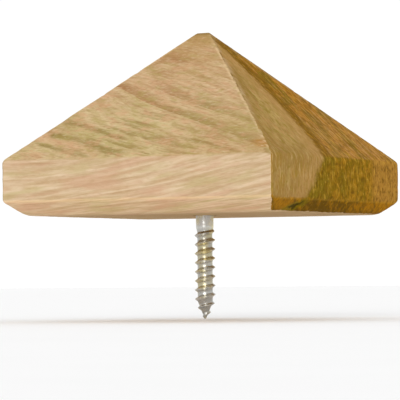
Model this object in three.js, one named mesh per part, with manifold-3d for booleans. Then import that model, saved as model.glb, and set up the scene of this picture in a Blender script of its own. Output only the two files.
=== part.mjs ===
// Pyramid cap for a square timber fence post, with the double-ended screw that holds it down.
// Millimetres, +Z up. The origin is the centre of the seat, where the flat underside of the
// cap meets the top of the post. The grain runs along X, so the two X faces show end grain.

import * as THREE from "three";
import { ConvexGeometry } from "three/addons/geometries/ConvexGeometry.js";
import { mergeVertices } from "three/addons/utils/BufferGeometryUtils.js";
import Module from "manifold-3d";

const wasm = await Module();
wasm.setup();

// Cap block
const capWidth = 114; // side of the square, measured over the upright edges
const capHeight = 71; // underside to the ridge
const eaveHeight = 21; // underside to the arris where the slopes start
const ridgeLength = 5.2; // the four slopes close in a short ridge along the grain
const bevelUp = 5.1; // bevel round the lower edge, measured upwards
const endBevelIn = 4.9; // the bevel on the two end-grain faces, measured inwards
const sideBevelIn = 8.8; // the flatter bevel on the two long-grain faces

// Double-ended screw
const screwLength = 80;
const crestRadius = 4;
const rootRadius = 2.9;
const pitch = 3.5;
const rootLand = 0.45; // share of the pitch that is plain root between two crests
const shankRadius = 3.4;
const shankLength = 9; // plain middle, half of it on each side of the seat
const threadRunout = 2; // length over which the thread fades into the shank
const pointLength = 7;

// Blind bore that takes the upper half of the screw
const boreClearance = 0.4; // between the thread's crest and the wall
const boreTipGap = 2; // beyond the screw's point, up to the start of the drill cone
const boreRadius = crestRadius + boreClearance;
const drillConeAngle = THREE.MathUtils.degToRad(59); // half of a 118 degree drill point

const boreSides = 24;
const threadSides = 12;

function solidOf(geometry) {
  const bare = geometry.clone();
  bare.deleteAttribute("normal");
  bare.deleteAttribute("uv");
  const merged = mergeVertices(bare, 1e-5);
  return new wasm.Manifold(new wasm.Mesh({
    numProp: 3,
    vertProperties: Float32Array.from(merged.attributes.position.array),
    triVerts: Uint32Array.from(merged.index.array),
  }));
}

function geometryOf(solid) {
  const { vertProperties, triVerts } = solid.getMesh();
  const geometry = new THREE.BufferGeometry();
  geometry.setAttribute("position", new THREE.BufferAttribute(vertProperties, 3));
  geometry.setIndex(new THREE.BufferAttribute(triVerts, 1));
  return geometry;
}

// A solid of revolution about Z from [radius, z] pairs that start and end on the axis.
function turned(profile, sides) {
  const points = profile.map(([radius, z]) => new THREE.Vector2(radius, z));
  return new THREE.LatheGeometry(points, sides).rotateX(Math.PI / 2);
}

// The four corners of a rectangle round the Z axis, at one height.
function corners(halfX, halfY, z) {
  const points = [];
  for (const x of [-halfX, halfX]) {
    for (const y of [-halfY, halfY]) {
      points.push(new THREE.Vector3(x, y, z));
    }
  }
  return points;
}

function bore() {
  const wallTop = screwLength / 2 + boreTipGap;
  const coneTop = wallTop + boreRadius / Math.tan(drillConeAngle);
  const belowSeat = -1; // the cutter starts just outside the block
  return turned([[0, belowSeat], [boreRadius, belowSeat], [boreRadius, wallTop], [0, coneTop]], boreSides);
}

function capBlock() {
  const half = capWidth / 2;
  const outline = [
    ...corners(half - endBevelIn, half - sideBevelIn, 0),
    ...corners(half, half, bevelUp),
    ...corners(half, half, eaveHeight),
    new THREE.Vector3(-ridgeLength / 2, 0, capHeight),
    new THREE.Vector3(ridgeLength / 2, 0, capHeight),
  ];
  return geometryOf(solidOf(new ConvexGeometry(outline)).subtract(solidOf(bore())));
}

// A right-hand threaded rod on Z. Its surface is one strip of the thread's section that winds
// up the rod, so the strip's last line on one turn is its first line on the next.
function threadedRod(turns) {
  const section = [
    [rootRadius, 0],
    [rootRadius, rootLand],
    [crestRadius, (1 + rootLand) / 2],
  ];
  const steps = turns * threadSides;
  const base = -(turns + 1) * pitch / 2;
  const positions = [];
  const triangles = [];
  const lines = section.map(([radius, share], line) => {
    const first = positions.length / 3;
    const last = line === 0 ? steps + threadSides : steps;
    for (let step = 0; step <= last; step += 1) {
      const angle = 2 * Math.PI * (step % threadSides) / threadSides;
      const z = base + pitch * (step / threadSides + share);
      positions.push(radius * Math.cos(angle), radius * Math.sin(angle), z);
    }
    return first;
  });
  const vertex = (step, line) => (line < section.length ? lines[line] + step : lines[0] + step + threadSides);
  for (let step = 0; step < steps; step += 1) {
    for (let line = 0; line < section.length; line += 1) {
      const [a, b] = [vertex(step, line), vertex(step + 1, line)];
      const [c, d] = [vertex(step + 1, line + 1), vertex(step, line + 1)];
      triangles.push(a, b, c, a, c, d);
    }
  }
  // Each end closes on the axis with a fan round one turn and down the section's step.
  const closeEnd = (step, z, facingUp) => {
    const centre = positions.length / 3;
    positions.push(0, 0, z);
    const loop = [];
    for (let side = 0; side < threadSides; side += 1) {
      loop.push(vertex(step + side, 0));
    }
    for (let line = section.length; line > 0; line -= 1) {
      loop.push(vertex(step, line));
    }
    loop.forEach((start, place) => {
      const end = loop[(place + 1) % loop.length];
      triangles.push(...(facingUp ? [centre, start, end] : [centre, end, start]));
    });
  };
  closeEnd(0, base, false);
  closeEnd(steps, base + (turns + 1) * pitch, true);
  const geometry = new THREE.BufferGeometry();
  geometry.setAttribute("position", new THREE.Float32BufferAttribute(positions, 3));
  geometry.setIndex(triangles);
  return geometry;
}

function dowelScrew() {
  const end = screwLength / 2;
  const shankEnd = shankLength / 2;
  const outside = crestRadius + 0.2; // just clear of the crests
  const envelope = turned([
    [0, -end],
    [outside, -end + pointLength],
    [outside, -shankEnd - threadRunout],
    [shankRadius, -shankEnd],
    [shankRadius, shankEnd],
    [outside, shankEnd + threadRunout],
    [outside, end - pointLength],
    [0, end],
  ], boreSides);
  const shank = turned([
    [0, -shankEnd - threadRunout],
    [shankRadius, -shankEnd],
    [shankRadius, shankEnd],
    [0, shankEnd + threadRunout],
  ], boreSides);
  const turns = Math.ceil(screwLength / pitch) + 1;
  const thread = solidOf(threadedRod(turns)).intersect(solidOf(envelope));
  return geometryOf(thread.add(solidOf(shank)));
}

function piece(name, geometry, color, roughness, metalness) {
  const material = new THREE.MeshStandardMaterial({ color, roughness, metalness });
  const mesh = new THREE.Mesh(geometry, material);
  mesh.name = name;
  return mesh;
}

const cap = new THREE.Group();
cap.add(piece("cap_block", capBlock(), 0xc9a877, 0.8, 0));
cap.add(piece("dowel_screw", dowelScrew(), 0xb9b6a6, 0.35, 1));

export default cap;
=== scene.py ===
"""Looks of a softwood fence post cap and the double-ended screw that holds it.

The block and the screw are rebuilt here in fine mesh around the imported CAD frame. The wood is
one solid procedural timber: growth rings round a tilted pith, heartwood near it and darker
treated sapwood beyond it, and end grain on the two X faces.
Sizes are in metres. Names ending in MM, and the tables of the wood's pattern, hold millimetres.
"""

import math

import bmesh
import bpy
import numpy as np
from mathutils import Matrix, Vector, noise


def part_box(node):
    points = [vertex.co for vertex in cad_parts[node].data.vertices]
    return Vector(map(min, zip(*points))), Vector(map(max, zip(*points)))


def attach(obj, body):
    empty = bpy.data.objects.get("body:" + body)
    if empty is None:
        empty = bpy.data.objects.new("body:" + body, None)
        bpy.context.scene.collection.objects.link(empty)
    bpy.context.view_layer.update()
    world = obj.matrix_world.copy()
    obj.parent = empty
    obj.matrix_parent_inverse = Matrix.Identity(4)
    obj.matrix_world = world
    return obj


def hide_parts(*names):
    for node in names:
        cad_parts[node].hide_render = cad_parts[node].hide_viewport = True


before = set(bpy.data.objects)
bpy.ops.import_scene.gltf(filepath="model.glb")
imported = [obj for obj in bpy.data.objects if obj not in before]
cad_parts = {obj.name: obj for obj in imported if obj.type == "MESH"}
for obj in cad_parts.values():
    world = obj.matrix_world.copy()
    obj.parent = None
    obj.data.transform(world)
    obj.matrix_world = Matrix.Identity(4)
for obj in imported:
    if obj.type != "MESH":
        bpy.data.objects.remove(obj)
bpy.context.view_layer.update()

MM = 0.001


# ---------------------------------------------------------------- sizes read from the frame

def near(value, target, tolerance=0.02 * MM):
    return abs(value - target) < tolerance


block_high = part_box("cap_block")[1]
screw_low, screw_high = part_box("dowel_screw")
block_points = [v.co.copy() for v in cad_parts["cap_block"].data.vertices]

HALF = block_high.x
TOP = block_high.z
BEVEL_TOP = min(p.z for p in block_points if near(p.x, HALF))
EAVE = max(p.z for p in block_points if near(p.x, HALF))
SEAT_HALF_X = max(p.x for p in block_points if near(p.z, 0))
SEAT_HALF_Y = max(p.y for p in block_points if near(p.z, 0))
RIDGE_HALF = max(p.x for p in block_points if near(p.z, TOP))
BORE_RADIUS = min(p.xy.length for p in block_points if near(p.z, 0) and p.xy.length > MM)
BORE_DEPTH = max(p.z for p in block_points if near(p.xy.length, BORE_RADIUS))
BORE_TIP = max(p.z for p in block_points if near(p.x, 0) and near(p.y, 0) and p.z < TOP - MM)


# ---------------------------------------------------------------- the timber the block is cut from

PITH_Y_MM, PITH_Z_MM = -91.0, 58.3  # where the pith crosses the plane x = 0, outside the block
GRAIN_RISE = 0.141  # climb of the rings for each millimetre along X
GRAIN_SWING = (0.014, 0.355)  # their sideways drift at the front face and deeper in
SWING_DEPTH_MM = (-57.0, -22.0)  # the two Y between which the drift changes
GRAIN_BOW = 0.0011  # their curve along X
WANDER_MM = 0.9  # slow unevenness of the rings
WANDER_SIZE = 17 * MM
WANDER_STRETCH = (0.4, 1, 1)  # it changes more slowly along the grain
HEART_Y_MM, HEART_Z_MM, HEART_RADIUS_MM = -63.5, 55.5, 61.3  # outline of the heartwood


def smoothstep(value, low, high):
    share = np.clip((value - low) / (high - low), 0, 1)
    return share * share * (3 - 2 * share)


def noise_at(points, size, offset=0.0):
    """Smooth noise from -1 to 1 at each point, with features of the given size."""
    shift = Vector((offset, offset * 1.7, offset * 0.6))
    return np.array([noise.noise(Vector(p) / size + shift) for p in points])


def ring_radius(points):
    """Distance from the wandering pith, in millimetres: one value for each growth ring."""
    x, y, z = (points / MM).T
    inner, outer = GRAIN_SWING
    swing = inner + (outer - inner) * smoothstep(y, *SWING_DEPTH_MM)
    across = y - PITH_Y_MM + x * swing + GRAIN_BOW * x * x
    up = z - PITH_Z_MM - GRAIN_RISE * x
    wander = noise_at(points * np.array(WANDER_STRETCH), WANDER_SIZE, 5.5)
    return np.hypot(across, up) + WANDER_MM * wander


def heart_border(points):
    """Distance outside the heartwood, in millimetres, negative within it."""
    across = points[:, 1] / MM - HEART_Y_MM
    up = points[:, 2] / MM - HEART_Z_MM
    return np.hypot(across, up) - HEART_RADIUS_MM


# ---------------------------------------------------------------- the block's mesh

SIDE_COLUMNS = 104  # points along each of the four sides
DRILL_CONE_ROWS = 3
BORE_WALL_ROWS = 9
SEAT_ROWS = 26
BEVEL_ROWS = 14
BAND_ROWS = 26
SLOPE_ROWS = 110
CROWDING = 0.55  # share of the spacing that bunches up towards the corners and arrises
BLOCK_MERGE = 0.0005 * MM  # joins the rings' points at the drill's tip and along the ridge

ARRIS_WEAR = 1.1 * MM  # reach of the rounding on each side of a sharp edge
LEAST_WEAR = 0.25 * MM
WEAR_PATCHES = ((0.45, 11 * MM, 3.1), (0.3, 3 * MM, 7.7))  # share, size and seed of its unevenness
WEAR_LOSS = 0.7  # the upper hips are this much sharper than the band
WEAR_LOSS_HEIGHTS = (0.4 * TOP, 0.95 * TOP)

GRAIN_RELIEF = 0.10 * MM
GRAIN_RELIEF_SIZE = (16 * MM, 2.4 * MM, 2.4 * MM)
PIT_DEPTH = 0.08 * MM
PIT_SIZE = 3.2 * MM
PITTED_NORMALS = (0.3, 0.5)  # pits take over from raised grain between these shares of X
NICK_DEPTH = 0.22 * MM
NICK_SIZE = 3.6 * MM
NICK_REACH = 1.0 * MM  # from the arris
NICK_TOP = 0.9 * TOP
CHIP_Y_MM, CHIP_Z_MM = -32.5, 2.0  # a bruise in the bevel of the +X face
CHIP_REACH_MM = (6.0, 1.8)
CHIP_DEPTH = 0.45 * MM


def crowded(count):
    """count + 1 values from 0 to 1, closer together towards both ends."""
    even = np.linspace(0, 1, count + 1)
    return even * (1 - CROWDING) + (0.5 - 0.5 * np.cos(np.pi * even)) * CROWDING


SQUARE = ((-1, -1), (1, -1), (1, 1), (-1, 1))


def square_ring(half_x, half_y, z):
    """Points round a rectangle, anticlockwise from its -X -Y corner, without repeating a corner."""
    steps = crowded(SIDE_COLUMNS)[:-1]
    points = []
    for (x0, y0), (x1, y1) in zip(SQUARE, SQUARE[1:] + SQUARE[:1]):
        for t in steps:
            points.append((half_x * (x0 + (x1 - x0) * t), half_y * (y0 + (y1 - y0) * t), z))
    return np.array(points)


def round_ring(radius, z):
    square = square_ring(1, 1, 0)
    angle = np.arctan2(square[:, 1], square[:, 0])
    return np.stack([radius * np.cos(angle), radius * np.sin(angle), np.full(len(angle), z)], 1)


def between(start, end, count):
    """Rings from start to end, without start."""
    return [start + (end - start) * t for t in crowded(count)[1:]]


def block_rings():
    """The block's skin as rings, from the bore's blind end out over the seat and up to the ridge."""
    tip = round_ring(0, BORE_TIP)
    wall_top = round_ring(BORE_RADIUS, BORE_DEPTH)
    mouth = round_ring(BORE_RADIUS, 0)
    seat = square_ring(SEAT_HALF_X, SEAT_HALF_Y, 0)
    bevel = square_ring(HALF, HALF, BEVEL_TOP)
    eave = square_ring(HALF, HALF, EAVE)
    ridge = square_ring(RIDGE_HALF, 0, TOP)
    rings = [tip]
    for start, end, rows in (
        (tip, wall_top, DRILL_CONE_ROWS),
        (wall_top, mouth, BORE_WALL_ROWS),
        (mouth, seat, SEAT_ROWS),
        (seat, bevel, BEVEL_ROWS),
        (bevel, eave, BAND_ROWS),
        (eave, ridge, SLOPE_ROWS),
    ):
        rings += between(start, end, rows)
    return rings


def block_faces():
    """Outward normals of the block's faces, and their distances from the origin."""
    normals = [(0, 0, -1)]
    distances = [0]
    for along_x, seat, ridge in ((True, SEAT_HALF_X, RIDGE_HALF), (False, SEAT_HALF_Y, 0)):
        bevel = Vector((BEVEL_TOP, 0, seat - HALF)).normalized()
        slope = Vector((TOP - EAVE, 0, HALF - ridge)).normalized()
        for normal, height in ((bevel, BEVEL_TOP), (Vector((1, 0, 0)), 0), (slope, EAVE)):
            for out in (normal.x, -normal.x):
                normals.append((out, 0, normal.z) if along_x else (0, out, normal.z))
                distances.append(normal.x * HALF + normal.z * height)
    return np.array(normals), np.array(distances)


def face_depths(points):
    """Depth of each point below the plane of each face: one row for each face."""
    normals, distances = block_faces()
    return distances[:, None] - normals @ points.T


def wear_reach(points):
    uneven = 1.0 + sum(share * noise_at(points, size, seed) for share, size, seed in WEAR_PATCHES)
    sharper = WEAR_LOSS * smoothstep(points[:, 2], *WEAR_LOSS_HEIGHTS)
    return np.clip(ARRIS_WEAR * uneven * (1 - sharper), LEAST_WEAR, None)


def worn(points):
    """Rounds every arris: moves points in to the soft maximum of the faces' half spaces."""
    reach = wear_reach(points)
    moved = points.copy()
    for _ in range(2):
        total = np.full(len(moved), -1.0)  # far inside, until the first face is counted
        slope = np.zeros_like(moved)
        for normal, distance in zip(*block_faces()):
            value = moved @ normal - distance
            blend = np.clip(0.5 + 0.5 * (total - value) / reach, 0, 1)
            total = value * (1 - blend) + total * blend + reach * blend * (1 - blend)
            slope = normal * (1 - blend)[:, None] + slope * blend[:, None]
        length = np.maximum(np.linalg.norm(slope, axis=1), 0.2)
        moved = moved - slope * (np.clip(total, 0, None) / length ** 2)[:, None]
    return moved


def weathered_skin(points):
    """Sinks the skin a little: raised long grain, pitted end grain, nicked arrises and a bruise."""
    depths = face_depths(points)
    shares = smoothstep(depths - depths.min(axis=0), ARRIS_WEAR, 0)
    inwards = -shares.T @ block_faces()[0]
    inwards /= np.linalg.norm(inwards, axis=1)[:, None]

    grain = 0.5 + 0.5 * noise_at(points / np.array(GRAIN_RELIEF_SIZE), 1.0, 2.3)
    pits = 0.5 + 0.5 * noise_at(points / PIT_SIZE, 1.0, 8.1)
    end_share = smoothstep(np.abs(inwards[:, 0]), *PITTED_NORMALS)
    sunk = PIT_DEPTH * pits * end_share + GRAIN_RELIEF * grain * (1 - end_share)

    nicks = smoothstep(noise_at(points / NICK_SIZE, 1.0, 4.4), 0.25, 0.6)
    near_arris = smoothstep(np.sort(depths, axis=0)[1], NICK_REACH, 0) * (points[:, 2] < NICK_TOP)
    sunk = sunk + NICK_DEPTH * nicks * near_arris

    x, y, z = (points / MM).T
    reach_y, reach_z = CHIP_REACH_MM
    from_bruise = np.hypot((y - CHIP_Y_MM) / reach_y, (z - CHIP_Z_MM) / reach_z)
    on_end_bevel = x > (HALF - BEVEL_TOP) / MM
    sunk = sunk + CHIP_DEPTH * smoothstep(from_bruise, 1.0, 0.2) * on_end_bevel
    return points + inwards * sunk[:, None]


def mesh_object(name, points, faces):
    mesh = bpy.data.meshes.new(name)
    mesh.from_pydata([tuple(p) for p in points], [], faces)
    mesh.update()
    made = bpy.data.objects.new(name, mesh)
    bpy.context.scene.collection.objects.link(made)
    for polygon in mesh.polygons:
        polygon.use_smooth = True
    return made


def tidied(made, merge):
    """Joins coincident points and turns every face outwards."""
    shape = bmesh.new()
    shape.from_mesh(made.data)
    bmesh.ops.remove_doubles(shape, verts=shape.verts, dist=merge)
    bmesh.ops.dissolve_degenerate(shape, edges=shape.edges, dist=merge / 2)
    bmesh.ops.recalc_face_normals(shape, faces=shape.faces)
    shape.to_mesh(made.data)
    shape.free()
    return made


def arris_distance(points):
    """Depth of each point below the second nearest face, in millimetres: 0 on every arris."""
    return np.sort(face_depths(points), axis=0)[1] / MM


def give_timber(made):
    """Writes the timber's own fields on the mesh, for the material to read."""
    points = np.array([v.co for v in made.data.vertices])
    fields = {"ring": ring_radius, "border": heart_border, "arris": arris_distance}
    for name, field in fields.items():
        attribute = made.data.attributes.new(name, "FLOAT", "POINT")
        attribute.data.foreach_set("value", field(points).astype(np.float32))


def make_block():
    rings = block_rings()
    columns = len(rings[0])
    points = np.concatenate(rings)
    outside = (1 + DRILL_CONE_ROWS + BORE_WALL_ROWS) * columns  # the bore stays as it is drilled
    points[outside:] = weathered_skin(worn(points[outside:]))
    faces = []
    for low in range(0, len(points) - columns, columns):
        high = low + columns
        for column in range(columns):
            after = (column + 1) % columns
            faces.append((low + column, low + after, high + after, high + column))
    made = tidied(mesh_object("cap_block_wood", points, faces), BLOCK_MERGE)
    give_timber(made)
    return made


# ---------------------------------------------------------------- the screw's mesh

SCREW_SIDES = 40
PITCH = 3.5 * MM
ROOT_RADIUS = 2.9 * MM
SHANK_RADIUS = 3.4 * MM
SHANK_HALF = 4.5 * MM
RUNOUT = 2.0 * MM
POINT = 7.0 * MM
CREST_RADIUS = screw_high.x
SCREW_END = screw_high.z
SCREW_MERGE = 0.01 * MM
# one pitch of the thread: share of the pitch, share of the thread's depth
THREAD_SECTION = (
    (0, 0), (0.2, 0), (0.4, 0.02), (0.5, 0.12), (0.68, 0.86),
    (0.71, 1), (0.75, 1), (0.78, 0.86), (0.94, 0.1),
)
CORE_POINT_CURVE = 0.85  # how bluntly the core and the crests close in the point
CREST_POINT_CURVE = 0.7


def screw_radius(z, depth_share):
    to_point = min(max(SCREW_END - abs(z), 0) / POINT, 1)
    to_root = min(max((abs(z) - SHANK_HALF) / RUNOUT, 0), 1)
    body = SHANK_RADIUS + (ROOT_RADIUS - SHANK_RADIUS) * to_root
    core = body * to_point ** CORE_POINT_CURVE
    crest = (body + (CREST_RADIUS - body) * to_root) * to_point ** CREST_POINT_CURVE
    return core + (crest - core) * depth_share


def thread_strip():
    """The thread's section wound up the rod, as points and faces."""
    turns = math.ceil(2 * SCREW_END / PITCH) + 1
    start = -turns * PITCH / 2 - PITCH / 2
    steps = turns * SCREW_SIDES
    points, lines = [], []
    for share, depth in THREAD_SECTION:
        lines.append(len(points))
        for step in range(steps + SCREW_SIDES + 1):
            angle = 2 * math.pi * step / SCREW_SIDES
            z = start + PITCH * (step / SCREW_SIDES + share)
            radius = screw_radius(z, depth)
            z = min(max(z, -SCREW_END), SCREW_END)
            points.append((radius * math.cos(angle), radius * math.sin(angle), z))
    above = lines[1:] + [lines[0] + SCREW_SIDES]  # the last line meets the first of the next turn
    faces = []
    for step in range(steps):
        for line, next_line in zip(lines, above):
            low, high = line + step, next_line + step
            faces.append((low, low + 1, high + 1, high))
    return points, faces


def make_screw():
    made = mesh_object("dowel_screw_steel", *thread_strip())
    shape = bmesh.new()
    shape.from_mesh(made.data)
    loose = [v for v in shape.verts if not v.link_faces]
    bmesh.ops.delete(shape, geom=loose, context="VERTS")
    shape.to_mesh(made.data)
    shape.free()
    return tidied(made, SCREW_MERGE)


# ---------------------------------------------------------------- node helper

class Nodes:
    """Builds one material's nodes with short calls. Each call returns an output socket."""

    def __init__(self, name):
        self.material = bpy.data.materials.new(name)
        self.material.use_nodes = True
        self.tree = self.material.node_tree
        self.shader = self.tree.nodes["Principled BSDF"]

    def put(self, socket, value):
        if isinstance(value, bpy.types.NodeSocket):
            self.tree.links.new(value, socket)
        elif value is not None:
            socket.default_value = value

    def math(self, operation, a, b=None, c=None):
        node = self.tree.nodes.new("ShaderNodeMath")
        node.operation = operation
        for socket, value in zip(node.inputs, (a, b, c)):
            self.put(socket, value)
        return node.outputs[0]

    def product(self, values):
        first, *others = values
        for value in others:
            first = self.math("MULTIPLY", first, value)
        return first

    def scaled(self, vector, scale):
        node = self.tree.nodes.new("ShaderNodeVectorMath")
        node.operation = "SCALE"
        self.put(node.inputs[0], vector)
        self.put(node.inputs["Scale"], scale)
        return node.outputs[0]

    def length(self, vector):
        node = self.tree.nodes.new("ShaderNodeVectorMath")
        node.operation = "LENGTH"
        self.put(node.inputs[0], vector)
        return node.outputs["Value"]

    def split(self, vector):
        node = self.tree.nodes.new("ShaderNodeSeparateXYZ")
        self.put(node.inputs[0], vector)
        return node.outputs[0], node.outputs[1], node.outputs[2]

    def join(self, x, y, z):
        node = self.tree.nodes.new("ShaderNodeCombineXYZ")
        for socket, value in zip(node.inputs, (x, y, z)):
            self.put(socket, value)
        return node.outputs[0]

    def noise(self, vector, scale, detail, roughness, seed):
        node = self.tree.nodes.new("ShaderNodeTexNoise")
        node.noise_dimensions = "4D"
        self.put(node.inputs["Vector"], vector)
        settings = {"W": seed, "Scale": scale, "Detail": detail, "Roughness": roughness}
        for name, value in settings.items():
            node.inputs[name].default_value = value
        return node.outputs[0]

    def line_noise(self, along, scale, detail, roughness):
        node = self.tree.nodes.new("ShaderNodeTexNoise")
        node.noise_dimensions = "1D"
        self.put(node.inputs["W"], along)
        settings = {"Scale": scale, "Detail": detail, "Roughness": roughness}
        for name, value in settings.items():
            node.inputs[name].default_value = value
        return node.outputs[0]

    def smooth(self, value, low, high, at_low=0.0, at_high=1.0):
        node = self.tree.nodes.new("ShaderNodeMapRange")
        node.interpolation_type = "SMOOTHSTEP"
        for socket, given in zip(node.inputs, (value, low, high, at_low, at_high)):
            self.put(socket, given)
        return node.outputs[0]

    def ramp(self, value, stops):
        node = self.tree.nodes.new("ShaderNodeValToRGB")
        self.put(node.inputs[0], value)
        elements = node.color_ramp.elements
        while len(elements) < len(stops):
            elements.new(0.5)
        for element, (place, level) in zip(elements, stops):
            element.position = place
            element.color = (level, level, level, 1)
        return node.outputs[0]

    def mix(self, share, a, b, blend="MIX"):
        node = self.tree.nodes.new("ShaderNodeMix")
        node.data_type = "RGBA"
        node.blend_type = blend
        self.put(node.inputs[0], share)
        for socket, value in ((node.inputs[6], a), (node.inputs[7], b)):
            self.put(socket, (*value, 1) if isinstance(value, tuple) else value)
        return node.outputs[2]

    def bump(self, height, distance, strength):
        node = self.tree.nodes.new("ShaderNodeBump")
        node.inputs["Strength"].default_value = strength
        node.inputs["Distance"].default_value = distance
        self.put(node.inputs["Height"], height)
        return node.outputs[0]

    def attribute(self, name):
        node = self.tree.nodes.new("ShaderNodeAttribute")
        node.attribute_name = name
        return node.outputs["Fac"]

    def place_mm(self):
        """The object's own coordinates, in millimetres, and the coordinates of its normal."""
        coordinates = self.tree.nodes.new("ShaderNodeTexCoord")
        return self.scaled(coordinates.outputs["Object"], 1 / MM), coordinates.outputs["Normal"]

    def set(self, name, value):
        self.put(self.shader.inputs[name], value)


def srgb(red, green, blue):
    """Linear colour from 0-255 display values."""
    def one(value):
        value /= 255
        return value / 12.92 if value <= 0.04045 else ((value + 0.055) / 1.055) ** 2.4
    return one(red), one(green), one(blue)


# ---------------------------------------------------------------- the wood's colours

WARM_PALE = srgb(203, 180, 149)
WARM_DARK = srgb(179, 152, 116)
WARM_PINK = srgb(188, 150, 121)
WARM_OLIVE = srgb(177, 160, 114)
LATEWOOD = srgb(156, 116, 80)
STREAK_BROWN = srgb(138, 98, 60)
STREAK_OLIVE = srgb(126, 108, 50)
DAMP_GREEN = srgb(184, 172, 120)
SMUDGE_RED = srgb(150, 108, 68)
RIDGE_TAN = srgb(168, 134, 86)
MOTTLE_PINK = srgb(193, 148, 112)
MOTTLE_OLIVE = srgb(156, 140, 78)
EAVE_TAN = srgb(168, 130, 84)
WORN_EDGE = srgb(214, 186, 142)
# Painted shade: a thin dark line along the ridge top, and beside the arrises of the upper hips on
# the end grain.
PAINTED_EDGE_SHADE = srgb(104, 78, 32)
# The slopes are multiplied darker: partly weathering, partly painted shade on faces that turn up
# away from the light.
WEATHER_AND_SLOPE_SHADE = (0.95, 0.90, 0.78)  # these two multiply the colour under them
# Painted light: the downward bevels of the long grain are multiplied lighter, as light bounced up
# from below.
PAINTED_BOUNCE_LIGHT = (1.24, 1.20, 1.16)

HEART_PALE = srgb(178, 148, 86)
HEART_OLIVE = srgb(138, 116, 40)
HEART_OCHRE = srgb(168, 128, 48)
HEART_LIGHT = srgb(196, 166, 112)
HEART_DARK = srgb(140, 106, 50)
HEART_PINK = srgb(172, 132, 76)
SAP_BROWN = srgb(159, 114, 20)
SAP_DARK = srgb(98, 68, 2)
SAP_OCHRE = srgb(198, 154, 58)
SAP_GREEN = srgb(118, 99, 14)
SAP_PINK = srgb(168, 120, 48)
SAP_SIDE = srgb(150, 120, 66)
SLOPE_ORANGE = srgb(162, 108, 20)
SLOPE_GOLD = srgb(126, 97, 8)
SLOPE_PINK = srgb(184, 138, 80)
STRIPE = srgb(126, 88, 8)
BEVEL_BROWN = srgb(161, 108, 0)
BEVEL_DARK = srgb(98, 69, 0)
BEVEL_PALE = srgb(184, 130, 6)
CHIP_BLACK = srgb(44, 36, 0)
CHIP_GREEN = srgb(128, 108, 6)


# ---------------------------------------------------------------- the wood's pattern

# Noises: the fields they are drawn over, a feature's size along each, detail, roughness, seed.
SIDE_NOISES = {
    "lines": (("x", "ring", "z"), (21, 1.1, 60), 3, 0.65, 1),
    "bands": (("x", "ring", "z"), (28, 3.6, 60), 2, 0.6, 7),
    "broken": (("x", "ring", "z"), (12, 2.5, 90), 2, 0.5, 6),
    "strands": (("x", "leaning", "y"), (11, 0.8, 3), 3, 0.6, 2),
    "streaks": (("x", "leaning", "y"), (19, 1.5, 9), 3, 0.6, 11),
    "mottle": (("x", "leaning", "y"), (8.0, 2.6, 3.5), 3, 0.6, 41),
    "cloud": (("x", "y", "z"), (24, 12, 9), 2, 0.5, 3),
    "wander": (("x", "y", "z"), (9, 20, 20), 3, 0.6, 51),
    "fuzz": (("x", "y", "z"), (2.4, 0.9, 0.9), 2, 0.6, 31),
}
END_NOISES = {
    "speck": (("x", "y", "z"), (2.6, 1.5, 2.4), 3, 0.7, 4),
    "fibre": (("x", "y", "z"), (3.0, 0.9, 6.0), 2, 0.6, 15),
    "blot": (("x", "y", "z"), (5.0, 3.4, 3.4), 2, 0.6, 12),
    "streak": (("x", "ring", "z"), (12, 4.6, 30), 3, 0.7, 9),
    "run": (("down_slope", "y", "x"), (18, 1.7, 400), 2, 0.6, 25),
    "under": (("x", "tilted", "z"), (6.0, 3.2, 5.0), 3, 0.6, 21),
}
# noises of the same size along every axis: size, detail, roughness and seed
EVEN_NOISES = {
    "patch": (9, 2, 0.55, 17),
    "torn_border": (3.5, 4, 0.7, 8),
    "torn_corner": (2.5, 2, 0.6, 14),
    "fading": (5, 2, 0.6, 19),
}

# A fade is a field, two of its values and the share at each. A layer is a colour, and the fades
# and plain fields whose product is its share. A pair of colours is for heartwood and sapwood.
SLOPE_LEAN = (0.25, 0.65)  # an upright face turns into a slope between these vertical normals


def by_slope(upright, sloping):
    return ("normal_z", *SLOPE_LEAN, upright, sloping)


EAVE_CHANGE_MM = (EAVE / MM + 0.6, EAVE / MM - 0.4)  # heights of the change at the eave
SAPWOOD_EDGE_MM = (-1.8, 2.2)  # width of the border between heartwood and sapwood

SLOPES = by_slope(0, 1)
UPRIGHT = ("z", *EAVE_CHANGE_MM, 0, 1)
BELOW_SIDE = ("normal_z", -0.2, -0.5, 0, 1)
BELOW_END = ("normal_z", -0.25, -0.6, 0, 0.93)
DAMP = (("z", 48, 32, 0, 1), SLOPES, ("cloud", 0.36, 0.58, 0.35, 1))
MOTTLED = (by_slope(0.10, 0.44), ("z", 62, 44, 0.75, 1))

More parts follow.
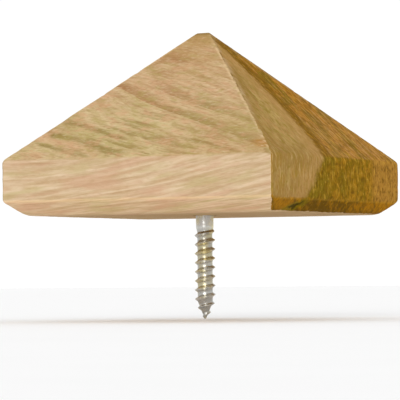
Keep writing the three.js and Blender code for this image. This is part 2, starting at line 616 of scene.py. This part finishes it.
LONG_GRAIN = (
    (WARM_DARK, ("lines", 0.34, 0.66, 0, 1), ("z", 44, 62, 1, 0.75)),
    (WARM_PINK, ("bands", 0.50, 0.64, 0, 0.6), by_slope(1, 0.5)),
    (WARM_OLIVE, ("bands", 0.47, 0.34, 0, 0.6)),
    (LATEWOOD, "latewood"),
)
NEAR_RIDGE = (
    (RIDGE_TAN, ("z", 46, 64, 0, 0.85), SLOPES, ("cloud", 0.35, 0.6, 0.2, 1)),
)
LOW_SLOPES = (
    (SMUDGE_RED, "smudge", SLOPES, ("cloud", 0.36, 0.56, 0, 0.6)),
    (DAMP_GREEN, "half_damp"),
    (STREAK_OLIVE, *DAMP, ("streaks", 0.50, 0.62, 0, 0.6)),
    (MOTTLE_PINK, "pink_band", SLOPES),
    (STREAK_OLIVE, "long_streaks", ("broken", 0.32, 0.56, 0.65, 1), SLOPES),
    (SLOPE_ORANGE, "knot", SLOPES, ("streaks", 0.40, 0.56, 0.25, 0.7)),
    (EAVE_TAN, ("x", 2, 34, 0, 1), ("z", 46, 34, 0, 0.34), SLOPES),
    (MOTTLE_PINK, ("mottle", 0.52, 0.62, 0, 1), *MOTTLED),
    (MOTTLE_OLIVE, ("mottle", 0.47, 0.37, 0, 1), *MOTTLED),
    (STREAK_BROWN, ("fuzz", 0.50, 0.70, 0, 1), by_slope(0.12, 0.34)),
    (WARM_PALE, ("fuzz", 0.48, 0.30, 0, 1), by_slope(0.12, 0.34)),
    (STREAK_BROWN, ("strands", 0.46, 0.70, 0, 1), by_slope(0.14, 0.28)),
)
ARRISES = (
    (WORN_EDGE, ("arris", 1.0, 0.3, 0, 1), ("from_middle", 2, 9, 0, 0.5),
     ("from_eave", 0.8, 2.4, 0.12, 1), ("strands", 0.42, 0.52, 0, 1)),
    # painted shade: a thin dark line along the ridge top
    (PAINTED_EDGE_SHADE, ("z", TOP / MM - 1.5, TOP / MM - 0.6, 0, 0.6)),
)

HEARTWOOD = (
    (HEART_DARK, ("streak", 0.36, 0.66, 0, 0.8)),
    (HEART_PINK, ("blot", 0.52, 0.62, 0, 0.7)),
    (HEART_OLIVE, ("blot", 0.47, 0.38, 0, 0.7)),
    (HEART_OCHRE, ("patch", 0.50, 0.60, 0, 0.5), UPRIGHT),
    (HEART_DARK, ("arris", 9, 1, 0, 0.55)),
    (HEART_DARK, ("z", 44, 66, 0, 0.5)),
    (SLOPE_PINK, ("blotted_z", 62, 70, 0, 0.6)),
    (HEART_PINK, ("border", -14, -3, 0, 0.75)),
)
UPRIGHT_SAPWOOD = (
    (SAP_BROWN, ("blot", 0.36, 0.62, 0, 1)),
    (SAP_GREEN, ("green", 0.46, 0.64, 0, 0.85)),
    (SAP_PINK, ("y", 28, 36, 0, 0.85)),
)
SLOPE_SAPWOOD = (
    (SLOPE_ORANGE, ("patch", 0.44, 0.56, 0, 1)),
    (SLOPE_PINK, ("z", 50, 30, 0, 0.35)),
    (SLOPE_PINK, ("run", 0.50, 0.62, 0, 0.7)),
    (SLOPE_GOLD, ("run", 0.46, 0.36, 0, 0.9)),
    (STRIPE, ("blot", 0.52, 0.64, 0, 0.55)),
    (STRIPE, ("blotted_border", 11, 8, 0, 0.9)),
)
GRIT = (("ragged_border", *SAPWOOD_EDGE_MM, 0.42, 0.60), ("z", *EAVE_CHANGE_MM, 0.8, 1.2))
END_DETAIL = (
    ((HEART_DARK, SAP_DARK), ("speck", 0.48, 0.62, 0, 1), *GRIT),
    ((HEART_PALE, SAP_OCHRE), ("speck", 0.44, 0.30, 0, 1), *GRIT),
    ((HEART_OLIVE, SAP_DARK), ("fibre", 0.50, 0.66, 0, 1), "fibre_share"),
    ((HEART_LIGHT, SAP_OCHRE), ("fibre", 0.46, 0.32, 0, 1), "fibre_share"),
    # painted shade beside the arrises high on the end grain, along the hips
    (PAINTED_EDGE_SHADE, ("arris", 1.3, 0.5, 0, 1), ("z", 26, 50, 0, 0.45)),
)
# The end bevels face down and are painted darker and browner than the end faces: partly the end
# grain's own colour, partly painted shade from below.
END_BEVEL = (
    (BEVEL_DARK, ("under_shade", 0.40, 0.68, 0, 1)),
    (BEVEL_PALE, ("speck", 0.46, 0.32, 0, 0.6)),
    (BEVEL_DARK, ("speck", 0.50, 0.62, 0, 0.5)),
    (BEVEL_DARK, ("z", 2.2, 0.4, 0, 0.45)),
    (SAP_OCHRE, ("z", BEVEL_TOP / MM - 1.0, BEVEL_TOP / MM - 0.3, 0, 0.2)),
    (CHIP_GREEN, "bruise"),
    (CHIP_BLACK, "bruise_core"),
)
FADED_HIP = (  # where the end grain near a hip is as pale as the long grain beside it
    ("arris", 3.4, 0.3, 0, 0.75),
    ("normal_z", 0.3, 0.6, 0, 1),
    ("z", 28, 44, 0, 1),
    ("fading", 0.38, 0.56, 0, 1),
)

RING_MM = 4.3  # usual width of a growth ring
RING_UNEVENNESS_MM = 5.0
RING_UNEVENNESS_SIZE_MM = 9
LATEWOOD_STOPS = ((0.0, 0.0), (0.05, 1.0), (0.3, 0.45), (0.6, 0.05), (1.0, 0.0))
LATEWOOD_SHARE = 0.26
# radius, fading width and darkness of the two darkest rings, and the X where each has appeared
STRONG_RINGS_MM = ((58.7, 3.0, 0.95, -60.0), (63.8, 5.5, 0.68, 0.0))
STRONG_RISE_MM = 0.2  # width of a strong ring's sharp side
STRONG_CREST_MM = 0.3  # width over which it stays darkest
STRONG_ONSET_MM = 14.0  # length along X in which it appears
STRONG_COLOR_X_MM = (-2.0, 22.0)  # it turns from reddish to olive between these

# dark streaks low on the slopes: height over x = 0, first and last X, half width and darkness
SLOPE_STREAKS_MM = (
    (21.4, -44.0, -6.0, 1.5, 0.78),
    (26.7, -40.0, -8.0, 1.2, 0.68),
    (16.6, -47.0, -18.0, 1.2, 0.62),
    (29.2, -8.0, 22.0, 0.9, 0.45),
    (31.8, 16.0, 44.0, 1.0, 0.45),
)
STREAK_FALL = 0.24  # their fall for each millimetre along X
STREAK_WANDER_MM = 3.6
STREAK_CORE_MM = 0.2
STREAK_ONSET_MM = (-2.0, 3.0)  # a streak fades in between these, from its first X
STREAK_END_MM = (6.0, -6.0)  # and is gone at the first of these, from its last X
PINK_BAND_MM = (17.4, 20.4, -18.0)  # a pinkish band between two of them: its heights and last X
PINK_EDGE_MM = 0.6
PINK_END_MM = (6.0, -4.0)
PINK_SHARE = 0.3

SMUDGE_PLACE_MM = (-8.0, 58.0)  # a reddish smudge near the ridge: the X and Z of its middle
SMUDGE_REACH_MM = (12.0, 6.5)
KNOT_PLACE_MM = (52.0, 25.0)  # an orange spot above the eave, beside the near corner
KNOT_REACH_MM = (8.0, 3.2)
CHIP_LEAN = 0.25  # climb of the bruise's stain for each millimetre along Y
CHIP_GREEN_MM = (12.0, 2.8)  # reach of its green rim along Y and Z, and of its black core
CHIP_BLACK_MM = (7.0, 1.3)
BLOB_CORE = 0.35  # share of each reach above that is at full strength
UNDER_TILT = 1.6  # lean of the mottling on the end bevel
UNDER_DARK_Y_MM, UNDER_DARK_REACH_MM = -8.0, (34.0, 12.0)  # its darker middle
BLOT_RISE_MM = 16.0  # how far the blots lift the pinkish top of the heartwood
BLOT_TEAR_MM = 5.0  # how far they tear the stripe along the border, and the bruise
BORDER_TEAR_MM = 9.0  # raggedness of the border between heartwood and sapwood
CORNER_TEAR = 0.5  # raggedness of the change from long grain to end grain, in shares of X
END_NORMALS = (0.40, 0.48)  # the normal's shares of X between which that change happens
SAP_SIDE_SHARE = 0.45
WOOD_ROUGHNESS = (0.75, 0.92)
WOOD_GLOSS = 0.04
WOOD_BUMP = 0.25 * MM


def add_noises(n, fields, table):
    for name, (axes, sizes, detail, roughness, seed) in table.items():
        place = (n.math("DIVIDE", fields[axis], size) for axis, size in zip(axes, sizes))
        fields[name] = n.noise(n.join(*place), 1.0, detail, roughness, seed)


def share_of(n, fields, fades):
    """The product of some fades and plain fields."""
    values = []
    for fade in fades:
        if isinstance(fade, str):
            values.append(fields[fade])
        else:
            name, *limits = fade
            values.append(n.smooth(fields[name], *limits))
    return n.product(values)


def layered(n, fields, color, layers):
    """Paints layers over a colour."""
    for paint, *fades in layers:
        if isinstance(paint[0], tuple):
            paint = n.mix(fields["sapwood"], *paint)
        color = n.mix(share_of(n, fields, fades), color, paint)
    return color


def blob(n, a, b, middle, reach):
    """1 in the core of an ellipse in the plane of a and b, and 0 at its rim."""
    a_off = n.math("DIVIDE", n.math("SUBTRACT", a, middle[0]), reach[0])
    b_off = n.math("DIVIDE", n.math("SUBTRACT", b, middle[1]), reach[1])
    return n.smooth(n.length(n.join(a_off, b_off, 0.0)), 1.0, BLOB_CORE)


def centred(n, noise, size, base):
    """base, moved up or down by a noise of the given size."""
    return n.math("MULTIPLY_ADD", n.math("SUBTRACT", noise, 0.5), size, base)


def latewood(n, ring):
    """Growth rings of uneven width, each dark at once and then fading."""
    uneven = n.line_noise(ring, 1 / RING_UNEVENNESS_SIZE_MM, 2.0, 0.5)
    turn = n.math("DIVIDE", centred(n, uneven, RING_UNEVENNESS_MM, ring), RING_MM)
    return n.math("MULTIPLY", n.ramp(n.math("FRACT", turn), LATEWOOD_STOPS), LATEWOOD_SHARE)


def strong_rings(n, x, ring):
    dark = 0.0
    for begin, reach, share, appears in STRONG_RINGS_MM:
        rise = n.smooth(ring, begin - STRONG_RISE_MM, begin, 0.0, share)
        rise = n.math("MULTIPLY", rise, n.smooth(x, appears - STRONG_ONSET_MM, appears))
        fading = n.smooth(ring, begin + reach, begin + STRONG_CREST_MM)
        dark = n.math("MULTIPLY_ADD", rise, fading, dark)
    return dark


def near_x(n, x, place, offsets):
    """A fade along X between two offsets from a place."""
    return n.smooth(x, place + offsets[0], place + offsets[1])


def slope_streaks(n, x, level):
    dark = 0.0
    for middle, first, last, reach, share in SLOPE_STREAKS_MM:
        off = n.math("ABSOLUTE", n.math("SUBTRACT", level, middle))
        core = n.smooth(off, reach, STREAK_CORE_MM, 0.0, share)
        core = n.math("MULTIPLY", core, near_x(n, x, first, STREAK_ONSET_MM))
        dark = n.math("MULTIPLY_ADD", core, near_x(n, x, last, STREAK_END_MM), dark)
    return dark


def pink_band(n, x, level):
    low, high, last = PINK_BAND_MM
    return n.product((
        n.smooth(level, low - PINK_EDGE_MM, low + PINK_EDGE_MM, 0.0, PINK_SHARE),
        n.smooth(level, high + PINK_EDGE_MM, high - PINK_EDGE_MM),
        near_x(n, x, last, PINK_END_MM),
    ))


def add_side_fields(n, fields):
    """What the long grain is painted by."""
    x, z = fields["x"], fields["z"]
    lean = n.smooth(fields["normal_z"], *SLOPE_LEAN, 0.0, STREAK_FALL)
    fields["leaning"] = n.math("MULTIPLY_ADD", x, lean, z)
    add_noises(n, fields, SIDE_NOISES)
    fields["latewood"] = latewood(n, fields["ring"])
    fields["strong"] = strong_rings(n, x, fields["ring"])
    fields["smudge"] = blob(n, x, z, SMUDGE_PLACE_MM, SMUDGE_REACH_MM)
    fields["knot"] = blob(n, x, z, KNOT_PLACE_MM, KNOT_REACH_MM)
    level = centred(n, fields["wander"], STREAK_WANDER_MM, fields["leaning"])
    fields["long_streaks"] = slope_streaks(n, x, level)
    fields["pink_band"] = pink_band(n, x, level)
    fields["half_damp"] = n.math("MULTIPLY", share_of(n, fields, DAMP), 0.5)
    fields["from_middle"] = n.math("ABSOLUTE", x)
    fields["from_eave"] = n.math("ABSOLUTE", n.math("SUBTRACT", z, EAVE / MM))


def side_grain(n, fields):
    """Colour and height of the long grain, on the slopes and upright faces that run along X."""
    add_side_fields(n, fields)
    color = layered(n, fields, WARM_PALE, LONG_GRAIN)
    # Slopes darker: partly weathering, partly painted shade on the upward faces.
    weathered_and_shaded = n.mix(1.0, color, WEATHER_AND_SLOPE_SHADE, "MULTIPLY")
    color = n.mix(share_of(n, fields, (SLOPES,)), color, weathered_and_shaded)
    color = layered(n, fields, color, NEAR_RIDGE)
    ring_color = n.mix(n.smooth(fields["x"], *STRONG_COLOR_X_MM), SMUDGE_RED, STREAK_OLIVE)
    ring_share = share_of(n, fields, ("strong", SLOPES, ("broken", 0.3, 0.6, 0.6, 1)))
    color = n.mix(ring_share, color, ring_color)
    color = layered(n, fields, color, LOW_SLOPES)
    # Painted light bounced up from below, on the downward bevels of the long grain.
    lit_from_below = n.mix(1.0, color, PAINTED_BOUNCE_LIGHT, "MULTIPLY")
    color = n.mix(share_of(n, fields, (BELOW_SIDE,)), color, lit_from_below)
    color = layered(n, fields, color, ARRISES)
    strands = n.math("MULTIPLY", fields["strands"], 0.8)
    return color, n.math("MULTIPLY_ADD", fields["lines"], 0.6, strands)


def add_end_fields(n, fields):
    """What the end grain is painted by."""
    y, z, border = fields["y"], fields["z"], fields["border"]
    fields["down_slope"] = n.math("SUBTRACT", z, n.math("ABSOLUTE", fields["x"]))
    fields["tilted"] = n.math("ADD", y, n.math("MULTIPLY", z, UNDER_TILT))
    add_noises(n, fields, END_NOISES)
    blot = fields["blot"]
    fields["blotted_z"] = n.math("MULTIPLY_ADD", blot, BLOT_RISE_MM, z)
    fields["blotted_border"] = n.math("MULTIPLY_ADD", blot, BLOT_TEAR_MM, border)
    green = n.math("MULTIPLY_ADD", fields["patch"], 0.6, n.smooth(border, 15.0, 2.0, -0.04, 0.11))
    fields["green"] = n.math("MULTIPLY_ADD", blot, 0.4, green)

    fields["ragged_border"] = centred(n, fields["torn_border"], BORDER_TEAR_MM, border)
    fields["sapwood"] = n.smooth(fields["ragged_border"], *SAPWOOD_EDGE_MM)
    heartwood = n.math("SUBTRACT", 1.0, fields["sapwood"])
    upright_heartwood = n.math("MULTIPLY", share_of(n, fields, (UPRIGHT,)), heartwood)
    fibre_share = n.math("MULTIPLY_ADD", fields["sapwood"], 0.05, 0.35)
    fields["fibre_share"] = n.math("MULTIPLY_ADD", upright_heartwood, 0.20, fibre_share)

    from_dark = n.math("ABSOLUTE", n.math("SUBTRACT", y, UNDER_DARK_Y_MM))
    middle_shade = n.smooth(from_dark, *UNDER_DARK_REACH_MM, -0.04, 0.12)
    fields["under_shade"] = n.math("ADD", fields["under"], middle_shade)
    climb = n.math("MULTIPLY", n.math("SUBTRACT", y, CHIP_Y_MM), CHIP_LEAN)
    torn_z = centred(n, blot, BLOT_TEAR_MM, n.math("SUBTRACT", z, climb))
    chip = (CHIP_Y_MM, CHIP_Z_MM)
    fields["bruise"] = n.math("MULTIPLY", blob(n, y, torn_z, chip, CHIP_GREEN_MM), 0.8)
    fields["bruise_core"] = n.math("MULTIPLY", blob(n, y, torn_z, chip, CHIP_BLACK_MM), 0.85)


def end_grain(n, fields):
    """Colour and height of the end grain, on the faces, slopes and bevels across X."""
    add_end_fields(n, fields)
    heart = layered(n, fields, HEART_PALE, HEARTWOOD)
    upright = layered(n, fields, SLOPE_GOLD, UPRIGHT_SAPWOOD)
    slope = layered(n, fields, SLOPE_GOLD, SLOPE_SAPWOOD)
    sap = n.mix(share_of(n, fields, (UPRIGHT,)), slope, upright)
    color = n.mix(fields["sapwood"], heart, sap)
    color = layered(n, fields, color, END_DETAIL)
    under = layered(n, fields, BEVEL_BROWN, END_BEVEL)
    # Darker, browner end bevels: partly their own colour, partly painted shade from below.
    color = n.mix(share_of(n, fields, (BELOW_END,)), color, under)
    return color, n.math("MULTIPLY", fields["speck"], 1.4)


def timber_fields(n):
    """The places, normals, timber fields and even noises that every part of the wood reads."""
    place, normal = n.place_mm()
    fields = dict(zip(("x", "y", "z"), n.split(place)))
    fields.update(zip(("normal_x", "normal_y", "normal_z"), n.split(normal)))
    for name in ("ring", "border", "arris"):
        fields[name] = n.attribute(name)
    for name, (size, detail, roughness, seed) in EVEN_NOISES.items():
        fields[name] = n.noise(place, 1 / size, detail, roughness, seed)
    return fields


def wood_material():
    n = Nodes("treated_softwood_grain")
    fields = timber_fields(n)
    side, side_height = side_grain(n, fields)
    end, end_height = end_grain(n, fields)
    side = n.mix(n.math("MULTIPLY", fields["sapwood"], SAP_SIDE_SHARE), side, SAP_SIDE)
    across = n.math("ABSOLUTE", fields["normal_x"])
    end_share = n.smooth(centred(n, fields["torn_corner"], CORNER_TEAR, across), *END_NORMALS)
    end = n.mix(share_of(n, fields, FADED_HIP), end, side)
    n.set("Base Color", n.mix(end_share, side, end))
    n.set("Roughness", n.smooth(fields["strands"], 0.3, 0.7, *WOOD_ROUGHNESS))
    n.set("Specular IOR Level", WOOD_GLOSS)
    side_part = n.math("MULTIPLY", side_height, n.math("SUBTRACT", 1.0, end_share))
    relief = n.math("MULTIPLY_ADD", end_height, end_share, side_part)
    n.set("Normal", n.bump(relief, WOOD_BUMP, 0.8))
    return n.material


# ---------------------------------------------------------------- the steel

ZINC = srgb(206, 206, 202)
YELLOW_ZINC = srgb(214, 204, 164)
ROOT_GREY = srgb(130, 126, 116)
ROOT_GREY_SHARE = 0.45
ROOT_REACH_MM = 3.5  # the grey of the thread's root fades out at this radius
ZINC_ROUGHNESS = (0.24, 0.42)
ZINC_BUMP = 0.02 * MM


def steel_material():
    n = Nodes("zinc_plate_bright")
    place = n.place_mm()[0]
    x, y, z = n.split(place)
    cloud = n.noise(place, 1 / 5, 2.0, 0.5, 1.0)
    grit = n.noise(place, 1.6, 3.0, 0.6, 2.0)
    radius = n.length(n.join(x, y, 0.0))
    tint = n.mix(n.smooth(cloud, 0.4, 0.62), ZINC, YELLOW_ZINC)
    in_root = n.smooth(radius, ROOT_RADIUS / MM, ROOT_REACH_MM, ROOT_GREY_SHARE, 0.0)
    n.set("Base Color", n.mix(in_root, tint, ROOT_GREY))
    n.set("Metallic", 1.0)
    n.set("Roughness", n.smooth(grit, 0.3, 0.7, *ZINC_ROUGHNESS))
    n.set("Normal", n.bump(grit, ZINC_BUMP, 0.5))
    return n.material


# ---------------------------------------------------------------- stage, light and camera

VIEW_AZIMUTH = math.radians(27.37)
CAMERA_DISTANCE = 20 * HALF
CAMERA_HEIGHT = -25.4 * MM
CAMERA_ROLL = math.radians(-0.49)
LENS_MM = 265.2
SENSOR_MM = 36
CLIP_RANGE = (0.05, 50)
AIM_RIGHT = -1.75 * MM  # how far the picture's centre lies right of the screw's axis
AIM_UP = 6.1 * MM

FLOOR_GAP = 0.5 * MM
FLOOR_SIZE = 12.0
PAPER = ((0.93, 0.93, 0.93), (0.95, 0.95, 0.95))


def make_floor():
    level = screw_low.z - FLOOR_GAP
    corners = [(x * FLOOR_SIZE / 2, y * FLOOR_SIZE / 2, level) for x, y in SQUARE]
    floor = mesh_object("studio_floor", corners, [(0, 1, 2, 3)])
    n = Nodes("pale_paper")
    coordinates = n.tree.nodes.new("ShaderNodeTexCoord")
    mottle = n.noise(coordinates.outputs["Object"], 20.0, 2.0, 0.5, 4.0)
    n.set("Base Color", n.mix(mottle, *PAPER))
    n.set("Roughness", 0.9)
    n.set("Specular IOR Level", 0.1)
    floor.data.materials.append(n.material)


WALL_EDGES = (0.12, 0.40)  # sines of the elevations between which the walls' light falls off
WALL_LEVEL = 1.03
CEILING_LEVEL = 0.90
KEY_AZIMUTH, KEY_ELEVATION = math.radians(16), math.radians(14)
KEY_ENERGY = 1.4
KEY_SPREAD = math.radians(30)


def make_studio():
    """A pale room that is a little brighter at the walls than above and below."""
    world = bpy.data.worlds.new("studio")
    bpy.context.scene.world = world
    world.use_nodes = True
    tree = world.node_tree
    direction = tree.nodes.new("ShaderNodeTexCoord")
    split = tree.nodes.new("ShaderNodeSeparateXYZ")
    height = tree.nodes.new("ShaderNodeMath")
    height.operation = "ABSOLUTE"
    level = tree.nodes.new("ShaderNodeMapRange")
    level.interpolation_type = "SMOOTHSTEP"
    for socket, value in zip(level.inputs[1:5], (*WALL_EDGES, WALL_LEVEL, CEILING_LEVEL)):
        socket.default_value = value
    tree.links.new(direction.outputs["Generated"], split.inputs[0])
    tree.links.new(split.outputs[2], height.inputs[0])
    tree.links.new(height.outputs[0], level.inputs[0])
    background = tree.nodes["Background"]
    background.inputs["Color"].default_value = (1, 1, 1, 1)
    tree.links.new(level.outputs[0], background.inputs["Strength"])
    bpy.context.scene.view_settings.view_transform = "Standard"


def make_key_light():
    sun = bpy.data.lights.new("key", "SUN")
    sun.energy = KEY_ENERGY
    sun.angle = KEY_SPREAD
    holder = bpy.data.objects.new("key", sun)
    flat = math.cos(KEY_ELEVATION)
    x, y = math.sin(KEY_AZIMUTH) * flat, -math.cos(KEY_AZIMUTH) * flat
    towards = Vector((x, y, math.sin(KEY_ELEVATION)))
    holder.rotation_euler = towards.to_track_quat("Z", "Y").to_euler()
    bpy.context.scene.collection.objects.link(holder)


def make_camera():
    data = bpy.data.cameras.new("camera")
    data.lens = LENS_MM
    data.sensor_width = SENSOR_MM
    data.clip_start, data.clip_end = CLIP_RANGE
    camera = bpy.data.objects.new("camera", data)
    bpy.context.scene.collection.objects.link(camera)
    bpy.context.scene.camera = camera
    sin, cos = math.sin(VIEW_AZIMUTH), math.cos(VIEW_AZIMUTH)
    place = Vector((CAMERA_DISTANCE * sin, -CAMERA_DISTANCE * cos, CAMERA_HEIGHT))
    aim = Vector((AIM_RIGHT * cos, AIM_RIGHT * sin, AIM_UP))
    turn = (place - aim).to_track_quat("Z", "Y").to_matrix().to_4x4()
    camera.matrix_world = Matrix.Translation(place) @ turn @ Matrix.Rotation(CAMERA_ROLL, 4, "Z")


# ---------------------------------------------------------------- assembly

make_camera()
make_studio()
make_key_light()
make_floor()

block = make_block()
block.data.materials.append(wood_material())
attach(block, "cap")
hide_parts("cap_block")

screw = make_screw()
screw.data.materials.append(steel_material())
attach(screw, "fixing")
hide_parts("dowel_screw")
